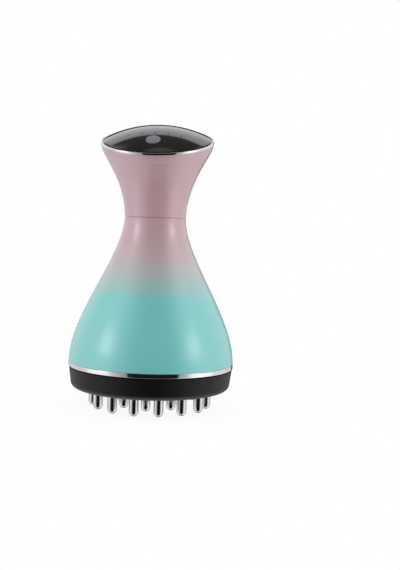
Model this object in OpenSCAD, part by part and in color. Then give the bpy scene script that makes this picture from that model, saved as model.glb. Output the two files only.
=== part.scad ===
// Handheld neck massager with a waisted two-part housing, a domed control panel on a
// slanted rim, and a round massage head that carries two rings of rounded prongs.
// The origin is below the middle of the head, level with the prong tips. +Z points up
// and -Y is the front, the side to which the panel slopes down.

/* [Housing] */
// Outer diameter of the base trim ring, the widest piece
base_d = 90; // [89:0.5:100]
// Outer diameter of the housing at the seam in its neck
neck_d = 33.3; // [33:0.1:38]
// Outer diameter of the slanted rim that carries the panel
rim_d = 61; // [60.6:0.2:70]
// Slant of the rim, down towards the front, in degrees
rim_tilt = 17; // [13:0.5:18]
// Height of the lower shell, from the base trim ring to the seam
lower_shell_h = 79; // [78:0.2:95]
// Height of the upper shell, from the seam to the middle of its rim
upper_shell_h = 41.6; // [41:0.05:50]
// Wall of both shells, measured level
shell_t = 2.2; // [1.8:0.1:2.6]
// How far the lower shell's outline runs on straight above the base trim ring
belly_pull = 25.4; // [20:0.2:28]
// How far the outline runs on straight below the seam
waist_pull = 21.6; // [18:0.2:24]
// How far the outline runs on straight above the seam
neck_pull = 15.8; // [12:0.2:18]
// Height of the upright lip below the top trim ring
lip_h = 4.2; // [4:0.1:5]
// How far the lip leans in over its height
lip_lean = 1; // [0.6:0.1:1.2]
// Width and depth of the groove at the neck seam
seam_groove = 0.4; // [0.2:0.1:0.6]

/* [Trim rings] */
// Height of the base trim ring
base_trim_h = 2.3; // [1.8:0.1:3]
// Shadow gap between the base trim ring and the massage head
base_trim_gap = 0.4; // [0.2:0.1:0.8]
// Height of the top trim ring
top_trim_h = 1.1; // [0.9:0.1:1.3]
// Width of the top trim ring that shows around the panel
top_trim_w = 0.8; // [0.6:0.1:1.2]

/* [Massage head] */
// Height of the head's side, from its working face to its shoulder
head_side_h = 11.6; // [11:0.2:15]
// How far the head's side leans in from the base trim ring down to its lower corner
head_low_inset = 1.4; // [1:0.1:2.8]
// Radius of the head's lower corner
head_corner_r = 3.4; // [2:0.2:3.6]
// Thickness of the head's working face
head_floor_t = 2.2; // [2:0.1:3]
// Height of the collar that the head sets into the lower shell
collar_h = 3; // [2.6:0.1:4]
// Number of screws that hold the head to the lower shell
head_screw_n = 5; // [3:2:5]
// How far the head screws stand in from the base trim ring
head_screw_inset = 8.4; // [8:0.1:8.5]

/* [Prongs] */
// Diameter of a prong
prong_d = 5.2; // [4.6:0.1:5.4]
// How far a prong stands out of the working face
prong_len = 10.4; // [8:0.1:12]
// Diameter of the small flat on a prong's rounded tip
prong_flat_d = 1; // [0.6:0.1:1.6]
// Diameter of the foot that keeps a prong in the head
prong_foot_d = 7.4; // [7:0.1:7.6]
// Thickness of that foot
prong_foot_t = 1.2; // [1:0.1:1.6]
// Number of prongs in the outer ring
outer_prong_n = 15; // [12:1:15]
// How far the middles of the outer prongs stand in from the base trim ring
outer_prong_inset = 14; // [13.8:0.1:14.5]
// Turn of the outer ring from the front, in degrees
outer_prong_turn = -8; // [-12:1:12]
// Number of prongs in the inner ring
inner_prong_n = 7; // [5:1:8]
// Distance between the pitch circles of the two rings
prong_ring_gap = 14.6; // [14.4:0.1:16]
// Thickness of the plate that presses on the prong feet
prong_plate_t = 1; // [0.8:0.1:1.5]
// Number of screws that hold the prong plate
plate_screw_n = 4; // [3:1:6]

/* [Control panel] */
// Height of the domed panel over its rim
dome_h = 7.2; // [7:0.1:10]
// Wall of the panel
panel_t = 2; // [1.6:0.1:2.2]
// Depth of the skirt below the panel's rim
skirt_h = 3; // [2.6:0.1:3.2]
// Diameter of the power button
button_d = 8.2; // [7.4:0.1:9]
// How far the button stands in front of the panel's middle
button_offset = 18.2; // [17.8:0.1:18.8]
// How far the button stands proud of the dome
button_proud = 0.25; // [0.1:0.05:0.4]
// Gap round the button
button_gap = 0.3; // [0.2:0.05:0.4]
// Travel of the button
button_travel = 0.4; // [0.2:0.05:0.5]
// Diameter of an indicator lens
lens_d = 1.2; // [0.8:0.1:1.4]
// Spacing of the indicator lenses
lens_pitch = 7; // [6.6:0.1:7.2]
// How far the row of lenses stands in front of the panel's middle
lens_offset = 10; // [9.6:0.1:10.2]

/* [Electronics] */
// Distance of the control board's edge in from the slanted rim
board_inset = 6; // [5.6:0.1:6.4]
// Thickness of the control board
board_t = 1.2; // [1:0.1:1.6]
// Depth of the board's upper face below the panel's rim
board_depth = 7; // [6.8:0.1:7.2]
// Distance of the board's screws in from its edge
board_screw_inset = 3.5; // [3.2:0.1:3.8]
// Diameter of the battery cell
cell_d = 18.3; // [17.6:0.1:18.6]
// Length of the battery cell
cell_len = 49.5; // [45:0.5:55]
// Room between the cell and the control board
cell_room = 2.9; // [2.5:0.1:4]
// Width of the charging socket's shell
socket_w = 8.94; // [8:0.02:9.2]
// Height of the charging socket's shell
socket_h = 3.26; // [3:0.02:3.4]
// Length of the charging socket
socket_len = 7.4; // [7:0.1:7.6]

/* [Motor] */
// Diameter of the motor
motor_d = 24.4; // [22:0.2:26]
// Length of the motor's can
motor_len = 30.8; // [26:0.2:33]
// Diameter of the motor's shaft
shaft_d = 2; // [1.8:0.1:2.5]
// Radius of the eccentric weight
weight_r = 10; // [8:0.2:11]
// Thickness of the eccentric weight
weight_t = 8; // [6:0.2:9]
// Distance between the motor's fixing screws
motor_screw_span = 16; // [15:0.1:17]
// Thickness of the motor mount's flange and top
mount_t = 2.5; // [2:0.1:3]
// Room between the motor and the sleeve that holds the battery
motor_room = 1.6; // [1:0.1:3]

/* [Fits and fasteners] */
// Radial play of a piece that is set in a bore
slip = 0.05; // [0.02:0.01:0.08]
// Play between housing pieces that register in each other
register_gap = 0.1; // [0.05:0.01:0.15]
// Shank diameter of the housing screws
screw_d = 2.5; // [2.2:0.1:2.6]
// Shank diameter of the small screws
small_screw_d = 2; // [1.6:0.1:2]

/* [Hidden] */

// Overshoot of a cut past the face that it opens
eps = 0.5;
// Facets of a full turn, and steps along the shells' curves
turn = 96;
loft_sides = 48;
curve_steps = 20;
flare_steps = 11;
lip_steps = 3;

base_r = base_d / 2;
neck_r = neck_d / 2;
rim_r = rim_d / 2;

// Heights from the prong tips upwards
face_z = prong_len;
shoulder_z = face_z + head_side_h;
ring_z = shoulder_z + base_trim_gap;
shell_z = ring_z + base_trim_h;
seam_z = shell_z + lower_shell_h;
rim_z = seam_z + upper_shell_h;
deck_z = shell_z + collar_h;

// Massage head
collar_t = 3;
collar_r = base_r - 3.5;
shoulder_step = 0.5;
shoulder_r = base_r - 0.3;
head_boss_r = 3;
head_boss_relief = 0.2;
head_low_r = base_r - head_low_inset;
head_screw_r = base_r - head_screw_inset;
head_screw_head_r = 2.4;
head_screw_head_h = 2;
head_screw_recess = 2.5;
screw_seat_z = face_z + head_screw_recess + head_screw_head_h;
head_screw_len = 22;
shell_boss_z = deck_z + mount_t;
shell_boss_h = 16;
shell_rib_t = 1.6;
gasket_h = 1.4;
gasket_w = 0.8;
gasket_z = shell_z + 0.6;

// Prongs
foot_z = face_z + head_floor_t;
plate_z = foot_z + prong_foot_t;
outer_prong_r = base_r - outer_prong_inset;
inner_prong_r = outer_prong_r - prong_ring_gap;
plate_r = outer_prong_r + prong_foot_d / 2 + 0.3;
plate_screw_r = (outer_prong_r + inner_prong_r) / 2;
plate_boss_r = 2.6;
plate_screw_len = 3.2;
small_head_r = small_screw_d * 0.95;
small_head_h = 1.3;

// Panel, on axes that tilt with the rim
panel_r = rim_r - top_trim_w;
dome_r = (pow(panel_r, 2) + pow(dome_h, 2)) / (2 * dome_h);
dome_w = dome_h - dome_r;
panel_edge_t = 0.6;
skirt_t = 1.4;
cavity_r = rim_r - 2.2;
skirt_r = cavity_r - register_gap;
lip_low_w = -top_trim_h - lip_h;
board_r = rim_r - board_inset;
boss_ring_r = board_r - board_screw_inset;
panel_boss_r = 2.3;
board_screw_turns = [40, 140, 220, 320];
board_screw_len = 5;

// Power button and its switch. The button's seat is level with the inside of the dome at
// the gasket's front edge
button_gasket_t = 0.8;
button_gasket_w = 1.8;
button_gasket_r = button_d / 2 + button_gap + button_gasket_w;
seat_w = dome_w + sqrt(pow(dome_r - panel_t, 2) - pow(button_offset + button_gasket_r, 2));
button_flange_t = 0.8;
button_flange_r = button_d / 2 + 1.3;
button_stem_r = 1.9;
switch_side = 6;
switch_h = 3.4;
plunger_r = 1.7;
plunger_up = 1.2;
plunger_in = 1.6;
plunger_w = -board_depth + switch_h + plunger_up;

// Indicator lamps
lens_n = 5;
led_size = [1.6, 0.8, 0.7];
lens_low_w = -board_depth + led_size.z + 0.3;

// Charging socket
socket_wall = 0.3;
socket_tongue = [6.7, 4.4, 0.7];
socket_back_t = 1;
socket_mouth_v = rim_r - 1.9;
port_gap = 0.22;
port_reach = 5;
socket_mid_w = -board_depth + socket_h / 2;

// Sleeve and nut that join the shells at the neck, with the battery inside. The cell's top
// stands below the point of the slanted board over the cell's front edge
cell_gap = 0.15;
sleeve_t = 2;
sleeve_r = cell_d / 2 + cell_gap + sleeve_t;
sleeve_floor_t = 1.5;
pad_t = 1;
cell_roof_z = rim_z - cell_d / 2 * tan(rim_tilt) - (board_depth + board_t) / cos(rim_tilt);
cell_top_z = cell_roof_z - cell_room;
cell_z = cell_top_z - cell_len;
cell_rise = 3.5;
sleeve_z = cell_z - pad_t - sleeve_floor_t;
sleeve_top_z = cell_top_z - cell_rise;
ledge_t = 4;
ledge_r = sleeve_r + register_gap;
flange_t = 2;
sleeve_flange_r = sleeve_r + 2.7;
nut_h = 4;
nut_r = sleeve_r + 2.6;

// Motor, hung below the sleeve, and its mount
rear_boss_r = 4;
rear_boss_h = 1.5;
motor_z = sleeve_z - motor_room - rear_boss_h - motor_len;
mount_top_z = motor_z - mount_t;
motor_boss_r = 3;
motor_boss_h = 1.5;
motor_bore_depth = 5;
weight_z = mount_top_z - weight_t - 2.5;
hub_r = 3;
mount_top_r = motor_d / 2 + 2.5;
mount_flange_r = collar_r - 0.5;
mount_wall_r = head_screw_r - head_boss_r - 0.6;
mount_flange_low_r = mount_wall_r - 2;
mount_wall_t = 2;
mount_window_w = 16;
motor_screw_len = 5;
motor_thread_depth = 3;

echo(total_height = rim_z + dome_r + dome_w * cos(rim_tilt));

// Point on a cubic curve with end points a and d and handles b and c
function curve_point(a, b, c, d, t) =
    pow(1 - t, 3) * a + 3 * pow(1 - t, 2) * t * b + 3 * (1 - t) * pow(t, 2) * c + pow(t, 3) * d;

// Outline of the lower shell as [radius, height], from the base trim ring to the seam
function belly_point(t) = curve_point(
    [base_r - 0.05, shell_z], [base_r - 0.05, shell_z + belly_pull],
    [neck_r, seam_z - waist_pull], [neck_r, seam_z], t);

// Side outline of the flare as [radius, height], from the seam to the foot of the lip
flare_lean = atan(2 * lip_lean / lip_h);
flare_pull = 7.4;
lip_foot = [rim_r - lip_lean, rim_z + lip_low_w * cos(rim_tilt)];
function flare_point(t) = curve_point(
    [neck_r, seam_z], [neck_r, seam_z + neck_pull],
    lip_foot - flare_pull * [sin(flare_lean), cos(flare_lean)], lip_foot, t);

// Sections of the upper shell as [radius, offset back, height, tilt]
function ease(t) = t * t * (3 - 2 * t);
function flare_section(t, wall) = [
    flare_point(t).x - wall,
    -lip_low_w * sin(rim_tilt) * ease(t),
    flare_point(t).y,
    rim_tilt * ease(t)
];
function lip_section(w, wall) = [
    rim_r - lip_lean * pow((w + top_trim_h) / lip_h, 2) - wall,
    -w * sin(rim_tilt),
    rim_z + w * cos(rim_tilt),
    rim_tilt
];

// Points of one tilted round section
function ring_points(s) = [
    for (i = [0:loft_sides - 1])
        let (a = 360 * i / loft_sides, y = s[0] * sin(a))
            [s[0] * cos(a), s[1] + y * cos(s[3]), s[2] + y * sin(s[3])]
];

// Closed solid through a list of round sections, lowest first
module loft(sections) {
    n = loft_sides;
    last = len(sections) - 1;
    points = [for (s = sections) each ring_points(s)];
    sides = [
        for (k = [0:last - 1], i = [0:n - 1])
            let (a = k * n + i, b = k * n + (i + 1) % n)
                each [[a, a + n, b], [b, a + n, b + n]]
    ];
    low = [for (i = [0:n - 1]) i];
    high = [for (i = [n - 1:-1:0]) last * n + i];
    polyhedron(points, concat([low, high], sides), convexity = 4);
}

// Places children on the panel's axes: Z along the panel's normal, Y up to the back
module on_panel() {
    translate([0, 0, rim_z]) rotate([rim_tilt, 0, 0]) children();
}

// Repeats children on a circle, the first at a turn from the front
module on_circle(count, radius, turned = 0) {
    for (i = [0:count - 1])
        rotate([0, 0, turned + 360 * i / count - 90]) translate([radius, 0, 0]) children();
}

// Head screws stand midway between neighbouring outer prongs
module at_head_screws() {
    pitch = 360 / outer_prong_n;
    for (i = [0:head_screw_n - 1])
        rotate([0, 0, outer_prong_turn - 90 + pitch * (0.5 + floor(i * outer_prong_n / head_screw_n))])
            translate([head_screw_r, 0, 0]) children();
}

module at_plate_screws() {
    on_circle(plate_screw_n, plate_screw_r, 45) children();
}

module at_board_screws() {
    for (a = board_screw_turns) rotate([0, 0, a]) translate([boss_ring_r, 0, 0]) children();
}

module at_button() {
    on_panel() translate([0, -button_offset, 0]) children();
}

module at_lenses() {
    for (i = [0:lens_n - 1])
        on_panel() translate([(i - (lens_n - 1) / 2) * lens_pitch, -lens_offset, 0]) children();
}

// Cylinder between two heights
module post(r, z0, z1) {
    translate([0, 0, z0]) cylinder(r = r, h = z1 - z0, $fn = turn / 2);
}

// Ring between two radii and two heights
module ring(r0, r1, z0, z1) {
    difference() {
        translate([0, 0, z0]) cylinder(r = r1, h = z1 - z0, $fn = turn);
        translate([0, 0, z0 - eps]) cylinder(r = r0, h = z1 - z0 + 2 * eps, $fn = turn);
    }
}

// Screw whose head stands on z = 0 and whose shank points down
module screw(d, len, head_r, head_h) {
    slot = head_r * 0.3;
    color("silver") difference() {
        union() {
            post(head_r, 0, head_h);
            post(d / 2, -len, 0);
        }
        for (a = [0, 90])
            rotate([0, 0, a]) translate([-head_r * 0.6, -slot / 2, head_h * 0.5])
                cube([head_r * 1.2, slot, head_h]);
    }
}

// Solid ball of the dome, grown by a given amount
module dome_ball(grow) {
    translate([0, 0, dome_w]) sphere(r = dome_r + grow, $fn = turn);
}

// Rounded slot outline of the charging socket, grown by a given amount
module socket_outline(grow) {
    r = socket_h / 2 + grow;
    w = socket_w / 2 - socket_h / 2;
    for (x = [-w, w]) translate([x, 0]) circle(r = r, $fn = turn / 2);
    square([2 * w, 2 * r], center = true);
}

// Places a vertical section on the socket's axis, looking out of its mouth
module on_socket(v) {
    on_panel() translate([0, v, socket_mid_w]) rotate([-90, 0, 0]) children();
}

module upper_shell() {
    outer = concat(
        [for (i = [0:flare_steps]) flare_section(i / flare_steps, 0)],
        [for (i = [1:lip_steps]) lip_section(lip_low_w + lip_h * i / lip_steps, 0)]
    );
    inner_steps = 6;
    floor_section = flare_section(0, shell_t) - [0, 0, eps, 0];
    inner = concat(
        [floor_section],
        [for (i = [0:inner_steps]) flare_section(i / inner_steps, shell_t)],
        [lip_section(-top_trim_h - skirt_h * 0.5, shell_t)]
    );
    color("#c3a2a8") difference() {
        union() {
            difference() {
                loft(outer);
                loft(inner);
            }
            ring(ledge_r, neck_r - shell_t / 2, seam_z, seam_z + ledge_t);
        }
        on_panel() post(cavity_r, -skirt_h, eps);
        on_socket(cavity_r - port_reach) linear_extrude(height = 2 * port_reach)
            socket_outline(port_gap);
    }
}

module lower_shell() {
    outer = [for (i = [0:curve_steps]) belly_point(i / curve_steps)];
    inner_high = seam_z - ledge_t;
    inner = [
        for (i = [curve_steps:-1:0])
            let (p = belly_point(i / curve_steps))
                if (p.y < inner_high - 1 && p.y > deck_z + 1) p - [shell_t, 0]
    ];
    register_r = collar_r + register_gap;
    color("#6fbcb8") {
        rotate_extrude($fn = turn) difference() {
            polygon(concat(
                outer,
                [
                    [ledge_r, seam_z],
                    [ledge_r, inner_high],
                    [neck_r - shell_t, inner_high]
                ],
                inner,
                [
                    [register_r + 1, deck_z + 1],
                    [register_r, deck_z],
                    [register_r, shell_z]
                ]
            ));
            translate([neck_r - seam_groove, seam_z - seam_groove]) square([eps, eps]);
        }
        intersection() {
            at_head_screws() difference() {
                union() {
                    post(head_boss_r, shell_boss_z, shell_boss_z + shell_boss_h);
                    translate([0, -shell_rib_t / 2, shell_boss_z])
                        cube([head_screw_inset, shell_rib_t, shell_boss_h]);
                }
                post(screw_d / 2 + slip, shell_boss_z - eps, screw_seat_z + head_screw_len + 1);
            }
            rotate_extrude($fn = turn)
                polygon(concat([[0, shell_z]], outer - [for (p = outer) [shell_t / 2, 0]], [[0, seam_z]]));
        }
    }
}

module top_trim_ring() {
    foot_w = -panel_edge_t;
    color("#e6e6e8") on_panel() rotate_extrude($fn = turn) polygon([
        [cavity_r, -top_trim_h],
        [rim_r + 0.1, -top_trim_h],
        [rim_r + 0.1, -0.15],
        [rim_r - 0.05, 0],
        [panel_r + register_gap, 0],
        [panel_r + register_gap, foot_w],
        [cavity_r, foot_w]
    ]);
}

module base_trim_ring() {
    bevel = 0.25;
    color("#e6e6e8") rotate_extrude($fn = turn) polygon([
        [collar_r + register_gap, ring_z],
        [base_r - bevel, ring_z],
        [base_r, ring_z + bevel],
        [base_r, shell_z - bevel],
        [base_r - bevel, shell_z],
        [collar_r + register_gap, shell_z]
    ]);
}

// Outline of the head's cup, from its middle round the corner to the collar and back
module head_outline() {
    corner = [head_low_r - head_corner_r, face_z + head_corner_r];
    side_lean = atan((shoulder_r - head_low_r) / (head_side_h - head_corner_r));
    inner_r = collar_r - collar_t;
    polygon(concat(
        [[0, face_z]],
        [
            for (i = [0:6])
                let (a = -90 + (90 - side_lean) * i / 6)
                    corner + head_corner_r * [cos(a), sin(a)]
        ],
        [
            [shoulder_r, shoulder_z],
            [shoulder_r - shoulder_step, shoulder_z],
            [shoulder_r - shoulder_step, ring_z],
            [collar_r, ring_z],
            [collar_r, gasket_z],
            [collar_r - gasket_w, gasket_z],
            [collar_r - gasket_w, gasket_z + gasket_h],
            [collar_r, gasket_z + gasket_h],
            [collar_r, deck_z],
            [inner_r, deck_z],
            [inner_r, foot_z + 1.5],
            [inner_r - 1.5, foot_z],
            [0, foot_z]
        ]
    ));
}

module massage_head() {
    bore_r = prong_d / 2 + slip;
    color("#242426") difference() {
        union() {
            rotate_extrude($fn = turn) head_outline();
            at_head_screws() post(head_boss_r, foot_z - eps, deck_z - head_boss_relief);
            at_plate_screws() post(plate_boss_r, foot_z - eps, plate_z);
        }
        on_circle(outer_prong_n, outer_prong_r, outer_prong_turn)
            post(bore_r, face_z - eps, foot_z + eps);
        on_circle(inner_prong_n, inner_prong_r)
            post(bore_r, face_z - eps, foot_z + eps);
        at_head_screws() {
            post(head_screw_head_r + 0.3, face_z - eps, screw_seat_z);
            post(screw_d / 2 + 0.3, face_z, deck_z + eps);
        }
        at_plate_screws()
            post(small_screw_d / 2 + slip, plate_z + prong_plate_t - plate_screw_len - 0.3, plate_z + eps);
    }
}

module head_gasket() {
    color("#3a3a3c")
        ring(collar_r - gasket_w, collar_r + register_gap, gasket_z, gasket_z + gasket_h);
}

// One prong with its rounded tip at z = 0 and its foot inside the head
module prong() {
    r = prong_d / 2;
    flat_r = prong_flat_d / 2;
    start = asin(flat_r / r);
    tip_z = r * cos(start);
    tip_steps = 8;
    color("#dcdce0") rotate_extrude($fn = turn / 2) polygon(concat(
        [[0, 0]],
        [
            for (i = [0:tip_steps])
                let (a = start + (90 - start) * i / tip_steps)
                    [r * sin(a), tip_z - r * cos(a)]
        ],
        [
            [r, foot_z],
            [prong_foot_d / 2, foot_z],
            [prong_foot_d / 2, plate_z],
            [0, plate_z]
        ]
    ));
}

module outer_prongs() {
    on_circle(outer_prong_n, outer_prong_r, outer_prong_turn) prong();
}

module inner_prongs() {
    on_circle(inner_prong_n, inner_prong_r) prong();
}

module prong_plate() {
    color("#b9bcc0") difference() {
        post(plate_r, plate_z, plate_z + prong_plate_t);
        at_head_screws() post(head_boss_r + 0.4, plate_z - eps, plate_z + prong_plate_t + eps);
        at_plate_screws()
            post(small_screw_d / 2 + 0.2, plate_z - eps, plate_z + prong_plate_t + eps);
    }
}

module plate_screws() {
    at_plate_screws() translate([0, 0, plate_z + prong_plate_t])
        screw(small_screw_d, plate_screw_len, small_head_r, small_head_h);
}

module head_screws() {
    at_head_screws() translate([0, 0, screw_seat_z]) rotate([180, 0, 0])
        screw(screw_d, head_screw_len, head_screw_head_r, head_screw_head_h);
}

module control_panel() {
    hole_r = button_d / 2 + button_gap;
    seat_r = button_gasket_r + 0.6;
    boss_low_w = -board_depth;
    color("#161618") difference() {
        union() {
            on_panel() difference() {
                intersection() {
                    dome_ball(0);
                    post(panel_r, -panel_edge_t, dome_h + 1);
                }
                dome_ball(-panel_t);
            }
            on_panel() ring(skirt_r - skirt_t, skirt_r, -skirt_h, 0);
            intersection() {
                on_panel() dome_ball(-panel_t / 2);
                union() {
                    on_panel() at_board_screws() post(panel_boss_r, boss_low_w, dome_h);
                    at_button() post(seat_r, seat_w, dome_h);
                }
            }
        }
        at_button() post(hole_r, seat_w - eps, dome_h + 1);
        at_lenses() post(lens_d / 2 + slip, 0, dome_h + 1);
        on_panel() at_board_screws()
            post(small_screw_d / 2 + slip, boss_low_w - eps, boss_low_w - board_t + board_screw_len + 0.5);
    }
}

module power_button() {
    flange_w = seat_w - button_gasket_t;
    color("#86878c") {
        intersection() {
            at_button() post(button_d / 2, flange_w - button_flange_t, dome_h + 2);
            on_panel() dome_ball(button_proud);
        }
        at_button() {
            post(button_flange_r, flange_w - button_flange_t, flange_w);
            post(button_stem_r, plunger_w, flange_w - button_flange_t / 2);
        }
    }
}

module button_gasket() {
    color("#4a4a4e") at_button()
        ring(button_d / 2 + button_gap, button_gasket_r, seat_w - button_gasket_t, seat_w);
}

module indicator_lenses() {
    color("#c9ccd2") intersection() {
        at_lenses() post(lens_d / 2, lens_low_w, dome_h + 1);
        on_panel() dome_ball(0);
    }
}

module indicator_leds() {
    color("#f2e6b0") at_lenses()
        translate([-led_size.x / 2, -led_size.y / 2, -board_depth]) cube(led_size);
}

module control_board() {
    color("#2c6e49") on_panel() difference() {
        post(board_r, -board_depth - board_t, -board_depth);
        at_board_screws()
            post(small_screw_d / 2 + 0.2, -board_depth - board_t - eps, -board_depth + eps);
    }
}

module board_screws() {
    on_panel() at_board_screws() translate([0, 0, -board_depth - board_t]) rotate([180, 0, 0])
        screw(small_screw_d, board_screw_len, small_head_r, small_head_h);
}

module tact_switch() {
    floor_w = -board_depth;
    color("#9a9ca2") at_button() difference() {
        translate([-switch_side / 2, -switch_side / 2, floor_w])
            cube([switch_side, switch_side, switch_h]);
        post(plunger_r + slip, floor_w + switch_h - plunger_in - button_travel - 0.3, floor_w + switch_h + eps);
    }
}

module switch_plunger() {
    color("#303034") at_button() post(plunger_r, plunger_w - plunger_up - plunger_in, plunger_w);
}

module charging_socket() {
    color("#b4b6ba") {
        on_socket(socket_mouth_v - socket_len) difference() {
            linear_extrude(height = socket_len) socket_outline(0);
            translate([0, 0, socket_back_t])
                linear_extrude(height = socket_len) socket_outline(-socket_wall);
        }
        on_socket(socket_mouth_v - socket_len + socket_back_t / 2)
            translate([-socket_tongue.x / 2, -socket_tongue.z / 2, 0])
                cube([socket_tongue.x, socket_tongue.z, socket_tongue.y + socket_back_t / 2]);
    }
}

module neck_sleeve() {
    bore_r = sleeve_r - sleeve_t;
    wire_hole_r = 2.5;
    color("#dadcdf") difference() {
        union() {
            post(sleeve_r, sleeve_z, sleeve_top_z);
            post(sleeve_flange_r, seam_z - ledge_t - flange_t, seam_z - ledge_t);
        }
        post(bore_r, sleeve_z + sleeve_floor_t, sleeve_top_z + eps);
        post(wire_hole_r, sleeve_z - eps, sleeve_z + sleeve_floor_t + eps);
    }
}

module neck_nut() {
    notch = 3;
    z = seam_z + ledge_t;
    color("#c8cacd") difference() {
        ring(sleeve_r + slip, nut_r, z, z + nut_h);
        for (a = [0:60:300])
            rotate([0, 0, a]) translate([nut_r - notch / 3, -notch / 2, z + nut_h / 2])
                cube([notch, notch, nut_h]);
    }
}

module battery_pad() {
    wire_hole_r = 3;
    color("#5b5d62") ring(wire_hole_r, sleeve_r - sleeve_t - slip, cell_z - pad_t, cell_z);
}

module battery_cell() {
    cap_r = 3.2;
    cap_h = 1;
    color("#3f6fb5") {
        post(cell_d / 2, cell_z, cell_top_z - cap_h);
        post(cap_r, cell_top_z - cap_h - eps, cell_top_z);
    }
}

module motor_can() {
    color("#a8abb0") difference() {
        union() {
            post(motor_d / 2, motor_z, motor_z + motor_len);
            post(motor_boss_r, motor_z - motor_boss_h, motor_z + 1);
            post(rear_boss_r, motor_z + motor_len - 1, motor_z + motor_len + rear_boss_h);
        }
        post(shaft_d / 2 + slip, motor_z - motor_boss_h - eps, motor_z + motor_bore_depth);
        for (x = [-1, 1])
            translate([x * motor_screw_span / 2, 0, 0])
                post(screw_d / 2 + slip, motor_z - eps, motor_z + motor_thread_depth);
    }
}

module motor_shaft() {
    color("#d4d6da") post(shaft_d / 2, weight_z - 0.5, motor_z + motor_bore_depth - 0.3);
}

module eccentric_weight() {
    lobe_turn = 180;
    color("#8c7a4a") difference() {
        union() {
            post(hub_r, weight_z, weight_z + weight_t);
            translate([0, 0, weight_z]) rotate_extrude(angle = lobe_turn, $fn = turn)
                square([weight_r, weight_t]);
        }
        post(shaft_d / 2 + 0.01, weight_z - eps, weight_z + weight_t + eps);
    }
}

module motor_mount() {
    low_z = shell_boss_z;
    high_z = mount_top_z + mount_t;
    color("#595c63") difference() {
        rotate_extrude($fn = turn) polygon([
            [mount_flange_low_r, deck_z],
            [mount_flange_r, deck_z],
            [mount_flange_r, low_z],
            [mount_wall_r, low_z],
            [mount_top_r, high_z],
            [motor_boss_r + 0.2, high_z],
            [motor_boss_r + 0.2, mount_top_z],
            [mount_top_r - mount_wall_t, mount_top_z],
            [mount_wall_r - mount_wall_t, low_z - mount_t / 2],
            [mount_flange_low_r, low_z - mount_t / 2]
        ]);
        for (a = [45:90:315])
            rotate([0, 0, a]) translate([mount_top_r - 1, -mount_window_w / 2, low_z + 1])
                cube([base_r, mount_window_w, mount_top_z - low_z - 2]);
        at_head_screws() post(screw_d / 2 + 0.3, deck_z - eps, low_z + eps);
        for (x = [-1, 1])
            translate([x * motor_screw_span / 2, 0, 0])
                post(screw_d / 2 + 0.3, mount_top_z - eps, high_z + eps);
    }
}

module motor_screws() {
    for (x = [-1, 1])
        translate([x * motor_screw_span / 2, 0, mount_top_z]) rotate([180, 0, 0])
            screw(screw_d, motor_screw_len, screw_d * 0.9, 1.5);
}

upper_shell();
lower_shell();
top_trim_ring();
base_trim_ring();
massage_head();
head_gasket();
outer_prongs();
inner_prongs();
prong_plate();
plate_screws();
head_screws();
control_panel();
power_button();
button_gasket();
indicator_lenses();
indicator_leds();
control_board();
board_screws();
tact_switch();
switch_plunger();
charging_socket();
neck_sleeve();
neck_nut();
battery_cell();
battery_pad();
motor_can();
motor_shaft();
eccentric_weight();
motor_mount();
motor_screws();
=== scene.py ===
import math

import bmesh
import bpy
from mathutils import Matrix, Vector


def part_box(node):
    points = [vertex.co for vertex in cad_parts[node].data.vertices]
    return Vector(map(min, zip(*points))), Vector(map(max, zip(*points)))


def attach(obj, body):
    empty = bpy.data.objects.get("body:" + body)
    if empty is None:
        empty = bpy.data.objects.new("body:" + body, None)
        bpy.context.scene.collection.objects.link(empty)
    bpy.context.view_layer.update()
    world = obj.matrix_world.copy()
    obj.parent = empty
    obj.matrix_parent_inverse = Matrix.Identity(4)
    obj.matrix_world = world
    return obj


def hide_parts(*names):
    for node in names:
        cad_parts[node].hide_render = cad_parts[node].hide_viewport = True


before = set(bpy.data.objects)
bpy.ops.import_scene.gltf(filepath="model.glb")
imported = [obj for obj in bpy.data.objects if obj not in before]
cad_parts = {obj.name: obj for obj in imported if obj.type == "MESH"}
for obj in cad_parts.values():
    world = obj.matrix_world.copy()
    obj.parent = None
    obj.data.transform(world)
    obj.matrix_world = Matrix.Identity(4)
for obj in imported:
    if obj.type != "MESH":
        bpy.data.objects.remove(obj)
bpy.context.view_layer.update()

mm = 0.001
housing = "housing"
spinSteps = 192     # faces round a large turned piece
sharpAngle = 35     # edges that bend by more degrees than this are sharp
mergeReach = 1e-7   # points closer than this are one point

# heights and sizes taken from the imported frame
headLow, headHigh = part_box("massage_head")
ringLow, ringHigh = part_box("base_trim_ring")
bellyLow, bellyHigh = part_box("lower_shell")
seamZ = bellyHigh.z
baseR = ringHigh.x


# mesh helpers

def markSharp(bm, angle):
    for edge in bm.edges:
        if len(edge.link_faces) == 2:
            edge.smooth = edge.calc_face_angle(0) < math.radians(angle)


def finishMesh(bm, name, material, angle=sharpAngle):
    bmesh.ops.remove_doubles(bm, verts=bm.verts, dist=mergeReach)
    bmesh.ops.recalc_face_normals(bm, faces=bm.faces)
    for face in bm.faces:
        face.smooth = True
    markSharp(bm, angle)
    mesh = bpy.data.meshes.new(name)
    bm.to_mesh(mesh)
    bm.free()
    piece = bpy.data.objects.new(name, mesh)
    bpy.context.scene.collection.objects.link(piece)
    if material:
        mesh.materials.append(material)
    return piece


def spinInto(bm, profile, steps, closed=True):
    # profile points are (radius, height) in metres, spun about the Z axis
    verts = [bm.verts.new((r, 0, z)) for r, z in profile]
    pairs = list(zip(verts, verts[1:]))
    if closed:
        pairs.append((verts[-1], verts[0]))
    edges = [bm.edges.new(pair) for pair in pairs]
    bmesh.ops.spin(bm, geom=verts + edges, axis=(0, 0, 1), cent=(0, 0, 0), dvec=(0, 0, 0),
                   angle=math.tau, steps=steps, use_merge=True, use_duplicate=False)
    bmesh.ops.remove_doubles(bm, verts=bm.verts, dist=mergeReach)


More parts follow.
